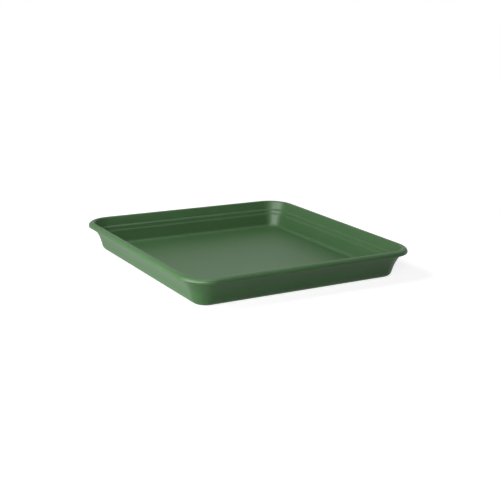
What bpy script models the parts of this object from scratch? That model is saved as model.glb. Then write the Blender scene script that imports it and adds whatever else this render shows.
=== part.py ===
"""A square plant saucer, moulded in one piece of dark green polypropylene.

The saucer is one section carried round a rounded square. The section is an outline of (half side,
height) points: half side is the distance from the saucer's middle plane to that point of the wall,
and the corners of every ring share their centres, so a ring that lies further in has a smaller
corner radius. All sizes are in metres and +Z is up. The origin is under the middle of the base.
"""

from math import asin, cos, pi, radians, sin, tan

import bmesh
import bpy

# Overall sizes
SIDE = 0.320
HEIGHT = 0.0375
CORNER_RADIUS = 0.0365
SMALLEST_CORNER = 0.002

# Floor and wall
FLOOR = 0.0022
WALL = 0.0020
WALL_DRAFT = radians(15.0)
FLOOR_FILLET = 0.0055

# Each ledge inside the wall: its depth below the crest, its width and its fall
UPPER_LEDGE = (0.0114, 0.0022, 0.0012)
LOWER_LEDGE = (0.0166, 0.0016, 0.0018)
BAND_DRAFT = radians(18.0)

# The rolled lip, from the crest out and down to its edge, with the groove that cores it below
LIP_WIDTH = 0.0059
LIP_DROP = 0.0044
CREST_ROUND = 0.0025
EDGE_FACE = 0.0005
EDGE_THICKNESS = 0.0020
GROOVE_DEPTH = 0.0022

# The wall's outer face bends outwards below the lip
FLARE_RADIUS = 0.062
FLARE_RISE = 0.0235

# Flats in each rounded stretch of the section and of the plan
CORNER_STEPS = 10
FILLET_STEPS = 5
CREST_STEPS = 3
LIP_STEPS = 8
EDGE_STEPS = 5
GROOVE_STEPS = 6
FLARE_STEPS = 6

# Finish
GREEN = (0.049, 0.120, 0.043, 1.0)
SATIN_ROUGHNESS = 0.45
SHARP_ANGLE = radians(32.0)


def clear_scene():
    """Remove every object that is in the scene."""
    for thing in list(bpy.data.objects):
        bpy.data.objects.remove(thing, do_unlink=True)


def make_plastic():
    """The green satin polypropylene that the whole saucer is moulded from."""
    material = bpy.data.materials.new("green_polypropylene")
    material.use_nodes = True
    shader = material.node_tree.nodes["Principled BSDF"]
    shader.inputs["Base Color"].default_value = GREEN
    shader.inputs["Roughness"].default_value = SATIN_ROUGHNESS
    shader.inputs["Metallic"].default_value = 0.0
    material.diffuse_color = GREEN
    return material


def arc(centre, width, height, start, stop, steps):
    """Points of an elliptical arc about centre, from angle start to angle stop, both included."""
    angles = [start + (stop - start) * step / steps for step in range(steps + 1)]
    return [(centre[0] + width * cos(angle), centre[1] + height * sin(angle)) for angle in angles]


def inner_face():
    """The ledged inner face, from the foot of the lower ledge up to the crest."""
    crest_centre = (SIDE / 2 - LIP_WIDTH, HEIGHT - CREST_ROUND)
    face = arc(crest_centre, CREST_ROUND, CREST_ROUND, pi - BAND_DRAFT, pi / 2, CREST_STEPS)
    for depth, width, fall in (UPPER_LEDGE, LOWER_LEDGE):
        half, height = face[0]
        head_height = HEIGHT - depth
        head_half = half - (height - head_height) * tan(BAND_DRAFT)
        face = [(head_half - width, head_height - fall), (head_half, head_height)] + face
    return face


def fillet(corner_half, level, radius):
    """The arc that joins a flat at the given level to a wall that rises from it at the draft angle."""
    tangent = radius * tan((pi / 2 - WALL_DRAFT) / 2)
    centre = (corner_half - tangent, level + radius)
    return arc(centre, radius, radius, -pi / 2, -WALL_DRAFT, FILLET_STEPS)


def rolled_lip(groove_level):
    """The lip's top, from beside the crest out to its edge, and the half-round under the edge."""
    edge_radius = EDGE_THICKNESS / 2
    crest_half = SIDE / 2 - LIP_WIDTH
    top = arc((crest_half, HEIGHT - LIP_DROP), LIP_WIDTH, LIP_DROP, pi / 2, 0.0, LIP_STEPS)
    edge = arc((SIDE / 2 - edge_radius, groove_level), edge_radius, edge_radius, 0.0, -pi, EDGE_STEPS)
    return top[1:] + edge


def flare(wall_half, wall_height, groove_level):
    """The outer face's arc, from the lip's groove down to where it runs into the straight wall."""
    lean = asin(sin(WALL_DRAFT) + (groove_level - wall_height) / FLARE_RADIUS)
    centre = (wall_half + FLARE_RADIUS * cos(WALL_DRAFT), wall_height - FLARE_RADIUS * sin(WALL_DRAFT))
    return arc(centre, FLARE_RADIUS, FLARE_RADIUS, pi - lean, pi - WALL_DRAFT, FLARE_STEPS)


def saucer_section():
    """The outline from the floor's edge, up the inner face, over the lip and down to the base."""
    face = inner_face()
    ledge_half, ledge_height = face[0]
    floor_corner = ledge_half - (ledge_height - FLOOR) * tan(WALL_DRAFT)
    base_corner = floor_corner - FLOOR * tan(WALL_DRAFT) + WALL / cos(WALL_DRAFT)
    groove_level = HEIGHT - LIP_DROP - EDGE_FACE
    flare_foot = groove_level - FLARE_RISE

    # The fillets are held below the ledges and the flare when the wall is low
    reach = tan((pi / 2 - WALL_DRAFT) / 2) * cos(WALL_DRAFT)
    base_radius = min(FLOOR_FILLET + WALL, flare_foot / reach)
    floor_radius = min(FLOOR_FILLET, (ledge_height - FLOOR) / reach)

    inside = fillet(floor_corner, FLOOR, floor_radius)
    outside = fillet(base_corner, 0.0, base_radius)
    flank = flare(base_corner + flare_foot * tan(WALL_DRAFT), flare_foot, groove_level)
    lip = rolled_lip(groove_level)

    # The groove is half an ellipse from the lip's edge to the head of the flare
    groove_half = (lip[-1][0] - flank[0][0]) / 2
    groove_centre = (flank[0][0] + groove_half, groove_level)
    groove = arc(groove_centre, groove_half, GROOVE_DEPTH, 0.0, pi, GROOVE_STEPS)
    return inside + face + lip + groove[1:-1] + flank + outside[::-1]


def add_ring(mesh, half_side, height):
    """Add the vertices of one rounded square, whose corners lie about the saucer's corner centres."""
    inset = SIDE / 2 - half_side
    radius = max(CORNER_RADIUS - inset, SMALLEST_CORNER)
    centre = half_side - radius
    ring = []
    for quarter, (side_x, side_y) in enumerate(((1, 1), (-1, 1), (-1, -1), (1, -1))):
        for step in range(CORNER_STEPS + 1):
            angle = (quarter + step / CORNER_STEPS) * pi / 2
            x = side_x * centre + radius * cos(angle)
            y = side_y * centre + radius * sin(angle)
            ring.append(mesh.verts.new((x, y, height)))
    return ring


def make_saucer(plastic):
    """Carry the section round the square, close it with the floor and the base, and shade it."""
    mesh = bmesh.new()
    rings = [add_ring(mesh, half_side, height) for half_side, height in saucer_section()]
    for inner, outer in zip(rings, rings[1:]):
        for this in range(len(inner)):
            following = (this + 1) % len(inner)
            mesh.faces.new((inner[this], outer[this], outer[following], inner[following]))
    mesh.faces.new(rings[0])
    mesh.faces.new(rings[-1][::-1])
    bmesh.ops.recalc_face_normals(mesh, faces=mesh.faces)

    data = bpy.data.meshes.new("saucer")
    mesh.to_mesh(data)
    mesh.free()
    data.materials.append(plastic)
    data.shade_smooth()
    data.set_sharp_from_angle(angle=SHARP_ANGLE)
    saucer = bpy.data.objects.new("saucer", data)
    bpy.context.scene.collection.objects.link(saucer)
    return saucer


clear_scene()
make_saucer(make_plastic())
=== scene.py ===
"""The looks of a square plant saucer, moulded in one piece of dark green polypropylene.

The file follows the object as it is made: first the moulding, with its section, its rounded square
plan, its mesh and its plastic, and then the floor, the lamps and the camera of the studio view.
All sizes are in metres, +Z is up, and the origin is under the middle of the base.
"""

import bpy
import numpy as np
from mathutils import Matrix, Vector


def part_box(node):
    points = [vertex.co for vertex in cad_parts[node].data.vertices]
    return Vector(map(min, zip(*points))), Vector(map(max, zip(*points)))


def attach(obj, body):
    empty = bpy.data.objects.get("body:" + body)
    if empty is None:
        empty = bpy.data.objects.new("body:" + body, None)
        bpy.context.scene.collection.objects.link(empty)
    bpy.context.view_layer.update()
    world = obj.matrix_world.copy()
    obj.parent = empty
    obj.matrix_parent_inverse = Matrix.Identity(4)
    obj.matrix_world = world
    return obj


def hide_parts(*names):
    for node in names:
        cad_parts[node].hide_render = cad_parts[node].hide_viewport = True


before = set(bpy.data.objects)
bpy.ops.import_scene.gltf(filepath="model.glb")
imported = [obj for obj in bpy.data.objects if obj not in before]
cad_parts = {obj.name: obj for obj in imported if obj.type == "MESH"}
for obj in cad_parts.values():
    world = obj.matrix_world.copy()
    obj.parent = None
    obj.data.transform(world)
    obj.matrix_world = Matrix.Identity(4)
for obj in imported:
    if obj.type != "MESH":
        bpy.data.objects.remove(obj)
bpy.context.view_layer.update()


# The saucer
# One injection moulding in green polypropylene: a flat floor, four leaning walls with two small
# ledges inside, and a lip that rolls outwards and is cored from below. The mould closes on the
# lip's edge, and the plastic enters at the middle of the underside.

saucer_low, saucer_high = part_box("saucer")
HALF_SIDE = (saucer_high.x - saucer_low.x) / 2
HEIGHT = saucer_high.z - saucer_low.z
CORNER_RADIUS = 0.0365
SMALLEST_CORNER = 0.002

FLOOR_THICKNESS = 0.0022
WALL_THICKNESS = 0.0020
WALL_DRAFT = np.radians(15.0)
FLOOR_FILLET = 0.0055

# Each ledge inside the wall: its depth below the crest, its width and its fall
UPPER_LEDGE = (0.0114, 0.0022, 0.0012)
LOWER_LEDGE = (0.0166, 0.0016, 0.0018)
BAND_DRAFT = np.radians(18.0)
LEDGE_EASE = 0.0008

LIP_WIDTH = 0.0059
LIP_DROP = 0.0044
CREST_ROUND = 0.0025
EDGE_FACE = 0.0005
EDGE_THICKNESS = 0.0020
GROOVE_DEPTH = 0.0022

FLARE_RADIUS = 0.062
FLARE_RISE = 0.0235

# Points along each rounded stretch of the section
FLOOR_ARC_POINTS = 12
LEDGE_EASE_POINTS = 5
CREST_POINTS = 9
LIP_POINTS = 21
EDGE_POINTS = 11
GROOVE_POINTS = 13
FLARE_POINTS = 16
BASE_ARC_POINTS = 14


def arc(centre, width, height, start, stop, count):
    """count points of the ellipse centre + (width cos a, height sin a), with a from start to stop."""
    angle = np.linspace(start, stop, count)
    return np.column_stack((centre[0] + width * np.cos(angle), centre[1] + height * np.sin(angle)))


def eased(points, ease, count):
    """Round each inner corner P of an open line by the curve (1-t)^2 A + 2t(1-t) P + t^2 B.

    A and B lie on the line's two legs at the distance ease from P, or halfway along a shorter leg.
    """
    corner = points[1:-1]
    back = points[:-2] - corner
    ahead = points[2:] - corner
    back_length = np.linalg.norm(back, axis=1, keepdims=True)
    ahead_length = np.linalg.norm(ahead, axis=1, keepdims=True)
    start = corner + back / back_length * np.minimum(ease, back_length / 2)
    stop = corner + ahead / ahead_length * np.minimum(ease, ahead_length / 2)
    t = np.linspace(0, 1, count)[None, :, None]
    curve = (1 - t) ** 2 * start[:, None] + 2 * t * (1 - t) * corner[:, None] + t ** 2 * stop[:, None]
    return np.vstack((points[:1], curve.reshape(-1, 2), points[-1:]))


def saucer_section():
    """The outline of one wall as (half side, height) rows, from the floor's edge round to the base.

    Straight legs join elliptical arcs: the floor fillet, the crest, the lip, its edge, the groove
    under it, the flare and the base fillet. The ledges are straight legs whose corners are eased.
    """
    crest_half = HALF_SIDE - LIP_WIDTH
    crest_centre = (crest_half, HEIGHT - CREST_ROUND)
    crest = arc(crest_centre, CREST_ROUND, CREST_ROUND, np.pi - BAND_DRAFT, np.pi / 2, CREST_POINTS)
    ledges = [crest[0]]
    for depth, width, fall in (UPPER_LEDGE, LOWER_LEDGE):
        half, height = ledges[0]
        head_height = HEIGHT - depth
        head_half = half - (height - head_height) * np.tan(BAND_DRAFT)
        ledges = [(head_half - width, head_height - fall), (head_half, head_height)] + ledges

    # The floor and the wall's two faces meet at these corners before they are rounded
    wall_half, wall_height = ledges[0]
    floor_corner = wall_half - (wall_height - FLOOR_THICKNESS) * np.tan(WALL_DRAFT)
    base_corner = floor_corner - FLOOR_THICKNESS * np.tan(WALL_DRAFT) + WALL_THICKNESS / np.cos(WALL_DRAFT)
    setback = np.tan((np.pi / 2 - WALL_DRAFT) / 2)
    base_fillet = FLOOR_FILLET + WALL_THICKNESS
    inner_centre = (floor_corner - FLOOR_FILLET * setback, FLOOR_THICKNESS + FLOOR_FILLET)
    outer_centre = (base_corner - base_fillet * setback, base_fillet)
    floor_arc = arc(inner_centre, FLOOR_FILLET, FLOOR_FILLET, -np.pi / 2, -WALL_DRAFT, FLOOR_ARC_POINTS)
    base_arc = arc(outer_centre, base_fillet, base_fillet, -WALL_DRAFT, -np.pi / 2, BASE_ARC_POINTS)

    inner_face = eased(np.array([floor_arc[-1]] + ledges), LEDGE_EASE, LEDGE_EASE_POINTS)[1:-1]

    groove_level = HEIGHT - LIP_DROP - EDGE_FACE
    edge_radius = EDGE_THICKNESS / 2
    lip = arc((crest_half, HEIGHT - LIP_DROP), LIP_WIDTH, LIP_DROP, np.pi / 2, 0, LIP_POINTS)
    edge_centre = (HALF_SIDE - edge_radius, groove_level)
    edge = arc(edge_centre, edge_radius, edge_radius, 0, -np.pi, EDGE_POINTS)

    flare_foot = groove_level - FLARE_RISE
    lean = np.arcsin(np.sin(WALL_DRAFT) + FLARE_RISE / FLARE_RADIUS)
    flare_centre = (
        base_corner + flare_foot * np.tan(WALL_DRAFT) + FLARE_RADIUS * np.cos(WALL_DRAFT),
        flare_foot - FLARE_RADIUS * np.sin(WALL_DRAFT),
    )
    flare = arc(flare_centre, FLARE_RADIUS, FLARE_RADIUS, np.pi - lean, np.pi - WALL_DRAFT, FLARE_POINTS)

    # The groove is half an ellipse from the lip's edge to the head of the flare
    groove_half = (edge[-1, 0] - flare[0, 0]) / 2
    groove_centre = (flare[0, 0] + groove_half, groove_level)
    groove = arc(groove_centre, groove_half, GROOVE_DEPTH, 0, np.pi, GROOVE_POINTS)
    return np.vstack((floor_arc, inner_face, crest, lip[1:], edge, groove[1:-1], flare, base_arc))


# Points of a ring round each corner and along each side
CORNER_SAMPLES = 20
SIDE_SAMPLES = 18


def plan_weights():
    """How each sample of the rounded square is made of its core and its corner radius.

    A ring of half side h and corner radius r has x = core_x (h - r) + round_x r, and the same for
    y. Round a corner the core weights stay at 1 and the round weights turn as cosine and sine.
    Along a side one core weight runs from 1 to -1. Each further quarter is the last one turned by
    90 degrees. The last array is 1 - u^2 along each side, where u runs from 1 to -1, and 0 round
    the corners.
    """
    turn = np.linspace(0, np.pi / 2, CORNER_SAMPLES, endpoint=False)
    along = np.linspace(1, -1, SIDE_SAMPLES, endpoint=False)
    core_x = np.concatenate((np.ones(CORNER_SAMPLES), along))
    core_y = np.ones(CORNER_SAMPLES + SIDE_SAMPLES)
    round_x = np.concatenate((np.cos(turn), np.zeros(SIDE_SAMPLES)))
    round_y = np.concatenate((np.sin(turn), np.ones(SIDE_SAMPLES)))
    belly = np.concatenate((np.zeros(CORNER_SAMPLES), 1 - along ** 2))
    quarter = np.array((core_x, core_y, round_x, round_y))
    turned = [quarter]
    for _ in range(3):
        core_x, core_y, round_x, round_y = turned[-1]
        turned.append(np.array((-core_y, core_x, -round_y, round_x)))
    return np.hstack(turned), np.tile(belly, len(turned))


# A moulded side cools bowed inwards by this much at its middle
SIDE_BOW = 0.0001


def sweep(section):
    """Carry the section round the plan: every row of the section becomes one ring of points.

    The corner centres stay where they are, so a ring's corner radius is the lip's less its inset.
    A side of half side h is bowed inwards by SIDE_BOW (1 - u^2) (h / HALF_SIDE)^2, with u along it.
    """
    half = section[:, 0]
    radius = np.maximum(CORNER_RADIUS - (HALF_SIDE - half), SMALLEST_CORNER)
    (core_x, core_y, round_x, round_y), belly = plan_weights()
    bow = SIDE_BOW * belly * (half / HALF_SIDE)[:, None] ** 2
    x = np.outer(half - radius, core_x) + np.outer(radius, round_x) - bow * round_x
    y = np.outer(half - radius, core_y) + np.outer(radius, round_y) - bow * round_y
    z = np.repeat(section[:, 1:], len(belly), axis=1)
    return np.stack((x, y, z), axis=2)


def spread_inwards(ring, level, shares):
    """Fill a flat inside a ring: each share s gives the ring at s times its size, drawn to a circle.

    A point p of the ring goes to s (s p + (1 - s) c p / |p|), where c is the ring's least reach.
    """
    flat = ring[:, :2]
    reach = np.linalg.norm(flat, axis=1, keepdims=True)
    circle = flat / reach * reach.min()
    s = shares[:, None, None]
    points = s * (s * flat + (1 - s) * circle)
    height = np.broadcast_to(level(np.linalg.norm(points, axis=2)), points.shape[:2])
    return np.concatenate((points, height[:, :, None]), axis=2)


# The dimple about the gate and the nub in it: each is level out to its flat share of its radius
GATE_RADIUS = 0.007
GATE_DEPTH = 0.0006
GATE_FLAT = 0.85
NUB_RADIUS = 0.0016
NUB_HEIGHT = 0.0004
NUB_FLAT = 0.6


def smooth_step(value, start, stop):
    """0 below start and 1 above stop, with the curve 3t^2 - 2t^3 between them."""
    t = np.clip((value - start) / (stop - start), 0, 1)
    return t * t * (3 - 2 * t)


def floor_level(reach):
    """The floor inside the tray is flat."""
    return np.full(reach.shape, FLOOR_THICKNESS)


def base_level(reach):
    """The base is flat, but for the round dimple about the gate and the nub that is cut off in it."""
    dimple = GATE_DEPTH * (1 - smooth_step(reach, GATE_RADIUS * GATE_FLAT, GATE_RADIUS))
    nub = NUB_HEIGHT * (1 - smooth_step(reach, NUB_RADIUS * NUB_FLAT, NUB_RADIUS))
    return dimple - nub


def closed_mesh(name, rings, first_pole, last_pole):
    """A closed surface from a stack of rings, with a fan of triangles to a pole at either end."""
    count, around = rings.shape[:2]
    points = np.vstack((rings.reshape(-1, 3), first_pole, last_pole))
    row = np.arange(count - 1)[:, None] * around
    this = np.arange(around)[None, :]
    following = (this + 1) % around
    quads = np.stack((row + this, row + around + this, row + around + following, row + following), axis=2)
    this = this.ravel()
    following = following.ravel()
    first = np.column_stack((np.full(around, count * around), this, following))
    last_row = (count - 1) * around
    last = np.column_stack((np.full(around, count * around + 1), last_row + following, last_row + this))
    mesh = bpy.data.meshes.new(name)
    mesh.from_pydata(points.tolist(), [], quads.reshape(-1, 4).tolist() + first.tolist() + last.tolist())
    mesh.validate()
    mesh.shade_smooth()
    return mesh


# The rings of the floor and of the base lie between these shares of their edge. The first rings of
# the base lie close together, where the nub, the dimple and its rim are.
INNER_SHARE = 0.06
OUTER_SHARE = 0.985
FLOOR_RINGS = 16
BASE_RINGS = 14
GATE_SHARES = (0.008, 0.012, 0.02, 0.035, 0.044, 0.047, 0.05, 0.053, INNER_SHARE)

walls = sweep(saucer_section())
floor_shares = np.linspace(INNER_SHARE, OUTER_SHARE, FLOOR_RINGS)
base_shares = np.concatenate((GATE_SHARES, np.linspace(2 * INNER_SHARE, OUTER_SHARE, BASE_RINGS)))
floor = spread_inwards(walls[0], floor_level, floor_shares)
base = spread_inwards(walls[-1], base_level, base_shares[::-1])
floor_pole = (0, 0, FLOOR_THICKNESS)
base_pole = (0, 0, base_level(np.zeros(1))[0])
saucer_mesh = closed_mesh("moulded_saucer", np.concatenate((floor, walls, base)), floor_pole, base_pole)
saucer = bpy.data.objects.new("moulded_saucer", saucer_mesh)
bpy.context.scene.collection.objects.link(saucer)

PLASTIC_GREEN = (0.0480, 0.1210, 0.0420, 1.0)
PLASTIC_DEEP_GREEN = (0.0450, 0.1140, 0.0390, 1.0)
PLASTIC_ROUGHNESS = 0.42
ROUGHNESS_SPREAD = 0.03
PLASTIC_IOR = 1.49
PLASTIC_SPECULAR = 0.175

# The pigment varies over about 36 mm and the grain over about 0.7 mm
PIGMENT_SCALE = 28.0
PIGMENT_DETAIL = 6.0
GRAIN_SCALE = 1500.0
GRAIN_DETAIL = 3.0
GRAIN_STRENGTH = 0.25
GRAIN_HEIGHT = 0.00004


def satin_polypropylene():
    """Dark green polypropylene with a fine moulded grain and a faint unevenness in its pigment."""
    material = bpy.data.materials.new("satin_polypropylene")
    material.use_nodes = True
    nodes = material.node_tree.nodes
    link = material.node_tree.links.new
    shader = nodes["Principled BSDF"]
    place = nodes.new("ShaderNodeTexCoord").outputs["Object"]

    pigment = nodes.new("ShaderNodeTexNoise")
    pigment.inputs["Scale"].default_value = PIGMENT_SCALE
    pigment.inputs["Detail"].default_value = PIGMENT_DETAIL
    link(place, pigment.inputs["Vector"])
    colour = nodes.new("ShaderNodeMix")
    colour.data_type = "RGBA"
    colour.inputs["A"].default_value = PLASTIC_DEEP_GREEN
    colour.inputs["B"].default_value = PLASTIC_GREEN
    link(pigment.outputs["Fac"], colour.inputs["Factor"])
    link(colour.outputs["Result"], shader.inputs["Base Color"])

    grain = nodes.new("ShaderNodeTexNoise")
    grain.inputs["Scale"].default_value = GRAIN_SCALE
    grain.inputs["Detail"].default_value = GRAIN_DETAIL
    link(place, grain.inputs["Vector"])
    bump = nodes.new("ShaderNodeBump")
    bump.inputs["Strength"].default_value = GRAIN_STRENGTH
    bump.inputs["Distance"].default_value = GRAIN_HEIGHT
    link(grain.outputs["Fac"], bump.inputs["Height"])
    link(bump.outputs["Normal"], shader.inputs["Normal"])

    satin = nodes.new("ShaderNodeMapRange")
    satin.inputs["To Min"].default_value = PLASTIC_ROUGHNESS - ROUGHNESS_SPREAD
    satin.inputs["To Max"].default_value = PLASTIC_ROUGHNESS + ROUGHNESS_SPREAD
    link(pigment.outputs["Fac"], satin.inputs["Value"])
    link(satin.outputs["Result"], shader.inputs["Roughness"])
    shader.inputs["IOR"].default_value = PLASTIC_IOR
    shader.inputs["Specular IOR Level"].default_value = PLASTIC_SPECULAR
    return material


saucer_mesh.materials.append(satin_polypropylene())
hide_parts("saucer")
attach(saucer, "root")


# The studio floor
# A wide flat sheet of pale grey paper that the saucer stands on. The camera and reflections also
# see a steady glow in it that rises gently with the distance, so that it is only just white round
# the saucer, keeps the saucer's faint soft shadow and runs into the white room behind.

PAPER_SIZE = 12.0
PAPER_GREY = (0.5, 0.5, 0.5, 1.0)
NEAR_GLOW = 0.80
FAR_GLOW = 1.0
GLOW_START = 0.4
GLOW_STOP = 1.2


def seen_rays(nodes, link):
    """1 for rays from the camera, from a reflection or through glass, and 0 for all others."""
    path = nodes.new("ShaderNodeLightPath")
    seen = path.outputs["Is Camera Ray"]
    for kind in ("Is Glossy Ray", "Is Transmission Ray"):
        either = nodes.new("ShaderNodeMath")
        either.operation = "MAXIMUM"
        link(seen, either.inputs[0])
        link(path.outputs[kind], either.inputs[1])
        seen = either.outputs["Value"]
    return seen


def glowing_paper():
    """Grey paper with a glow that rises from NEAR_GLOW to FAR_GLOW with the distance from the middle."""
    material = bpy.data.materials.new("glowing_paper")
    material.use_nodes = True
    nodes = material.node_tree.nodes
    link = material.node_tree.links.new
    nodes.remove(nodes["Principled BSDF"])
    paper = nodes.new("ShaderNodeBsdfDiffuse")
    paper.inputs["Color"].default_value = PAPER_GREY
    place = nodes.new("ShaderNodeTexCoord").outputs["Object"]
    distance = nodes.new("ShaderNodeVectorMath")
    distance.operation = "LENGTH"
    link(place, distance.inputs[0])
    rise = nodes.new("ShaderNodeMapRange")
    rise.interpolation_type = "SMOOTHSTEP"
    rise.inputs["From Min"].default_value = GLOW_START
    rise.inputs["From Max"].default_value = GLOW_STOP
    rise.inputs["To Min"].default_value = NEAR_GLOW
    rise.inputs["To Max"].default_value = FAR_GLOW
    link(distance.outputs["Value"], rise.inputs["Value"])
    strength = nodes.new("ShaderNodeMath")
    strength.operation = "MULTIPLY"
    link(seen_rays(nodes, link), strength.inputs[0])
    link(rise.outputs["Result"], strength.inputs[1])
    glow = nodes.new("ShaderNodeEmission")
    link(strength.outputs["Value"], glow.inputs["Strength"])
    both = nodes.new("ShaderNodeAddShader")
    link(paper.outputs["BSDF"], both.inputs[0])
    link(glow.outputs["Emission"], both.inputs[1])
    link(both.outputs["Shader"], nodes["Material Output"].inputs["Surface"])
    return material


# The paper lies this far below the base, so that the two never coincide
PAPER_GAP = 0.0002

paper_reach = PAPER_SIZE / 2
paper_corners = (
    (-paper_reach, -paper_reach, 0.0),
    (paper_reach, -paper_reach, 0.0),
    (paper_reach, paper_reach, 0.0),
    (-paper_reach, paper_reach, 0.0),
)
paper_mesh = bpy.data.meshes.new("studio_floor")
paper_mesh.from_pydata(paper_corners, [], ((0, 1, 2, 3),))
paper_mesh.materials.append(glowing_paper())
studio_floor = bpy.data.objects.new("studio_floor", paper_mesh)
studio_floor.location.z = -PAPER_GAP
bpy.context.scene.collection.objects.link(studio_floor)


# The lamps
# Five soft boxes light the saucer: a key to the left, weaker ones in front, to the right and behind,
# and a low strip left of the near corner. Four more show in the plastic's sheen alone. Round them is
# a room that is white to the camera and to reflections, and almost dark to everything else.

# Each box's name, azimuth and elevation in degrees, distance, width, height, and power in watts
LIGHTING_BOXES = (
    ("key_box", -103.0, 44.0, 1.5, 0.7, 0.6, 15.2),
    ("front_box", -30.0, 30.0, 1.5, 0.6, 0.6, 7.4),
    ("right_box", 90.0, 60.0, 1.5, 0.8, 0.8, 1.2),
    ("back_box", 150.0, 35.0, 1.5, 0.6, 0.6, 0.5),
    ("corner_box", -80.0, 5.0, 0.55, 0.25, 0.08, 1.8),
)
SHEEN_BOXES = (
    ("left_sheen_box", -82.0, 23.0, 1.5, 0.7, 0.6, 31.0),
    ("top_sheen_box", 0.0, 88.0, 1.5, 0.8, 0.8, 17.7),
    ("front_sheen_box", -50.0, 14.0, 1.2, 0.7, 0.5, 18.5),
    ("upper_sheen_box", -46.0, 34.0, 1.2, 0.5, 0.5, 10.0),
)
ROOM_LIGHT = 0.02
ROOM_WHITE = (1.0, 1.0, 1.0, 1.0)


def soft_box(name, azimuth, elevation, distance, width, height, power):
    """A soft box that faces the saucer, with its azimuth in degrees from the front and to the right."""
    lamp = bpy.data.lights.new(name, "AREA")
    lamp.shape = "RECTANGLE"
    lamp.size = width
    lamp.size_y = height
    lamp.energy = power
    turn = np.radians(azimuth)
    lift = np.radians(elevation)
    place = Vector((np.sin(turn) * np.cos(lift), -np.cos(turn) * np.cos(lift), np.sin(lift))) * distance
    box = bpy.data.objects.new(name, lamp)
    box.location = place
    box.rotation_mode = "QUATERNION"
    box.rotation_quaternion = (-place).to_track_quat("-Z", "Y")
    bpy.context.scene.collection.objects.link(box)
    return box


for box in LIGHTING_BOXES:
    soft_box(*box)
for box in SHEEN_BOXES:
    soft_box(*box).visible_diffuse = False

world = bpy.data.worlds.new("studio_room")
bpy.context.scene.world = world
world.use_nodes = True
room_nodes = world.node_tree.nodes
room_link = world.node_tree.links.new
backdrop = room_nodes["Background"]
backdrop.inputs["Color"].default_value = ROOM_WHITE
room_light = room_nodes.new("ShaderNodeMapRange")
room_light.inputs["To Min"].default_value = ROOM_LIGHT
room_light.inputs["To Max"].default_value = 1.0
room_link(seen_rays(room_nodes, room_link), room_light.inputs["Value"])
room_link(room_light.outputs["Result"], backdrop.inputs["Strength"])


# The camera
# The photograph's own viewpoint: from the front left and a little above, tipped slightly to one
# side. The focal length is for a frame 36 mm wide.

CAMERA_AZIMUTH = np.radians(-31.47)
CAMERA_ELEVATION = np.radians(15.33)
CAMERA_DISTANCE = 1.2385
CAMERA_ROLL = np.radians(1.90)
FOCAL_LENGTH_PIXELS = 953.5
IMAGE_PIXELS = 500
SENSOR_WIDTH = 36.0

# Where the saucer's middle lies, right of the picture's middle and down from it, before the roll
AIM_PIXELS = (-7.14, -2.40)

back = Vector((
    np.sin(CAMERA_AZIMUTH) * np.cos(CAMERA_ELEVATION),
    -np.cos(CAMERA_AZIMUTH) * np.cos(CAMERA_ELEVATION),
    np.sin(CAMERA_ELEVATION),
))
across = Vector((np.cos(CAMERA_AZIMUTH), np.sin(CAMERA_AZIMUTH), 0.0))
upward = back.cross(across)
forward = (
    -back
    - across * AIM_PIXELS[0] / FOCAL_LENGTH_PIXELS
    + upward * AIM_PIXELS[1] / FOCAL_LENGTH_PIXELS
)
level = forward.to_track_quat("-Z", "Y").to_matrix()

camera_data = bpy.data.cameras.new("studio_camera")
camera_data.sensor_width = SENSOR_WIDTH
camera_data.lens = SENSOR_WIDTH * FOCAL_LENGTH_PIXELS / IMAGE_PIXELS
camera = bpy.data.objects.new("studio_camera", camera_data)
camera.matrix_world = Matrix.Translation(Vector((0, 0, HEIGHT / 2)) + back * CAMERA_DISTANCE) @ (
    level @ Matrix.Rotation(CAMERA_ROLL, 3, "Z")
).to_4x4()
bpy.context.scene.collection.objects.link(camera)
bpy.context.scene.camera = camera
bpy.context.scene.view_settings.view_transform = "Standard"

bpy.context.view_layer.update()
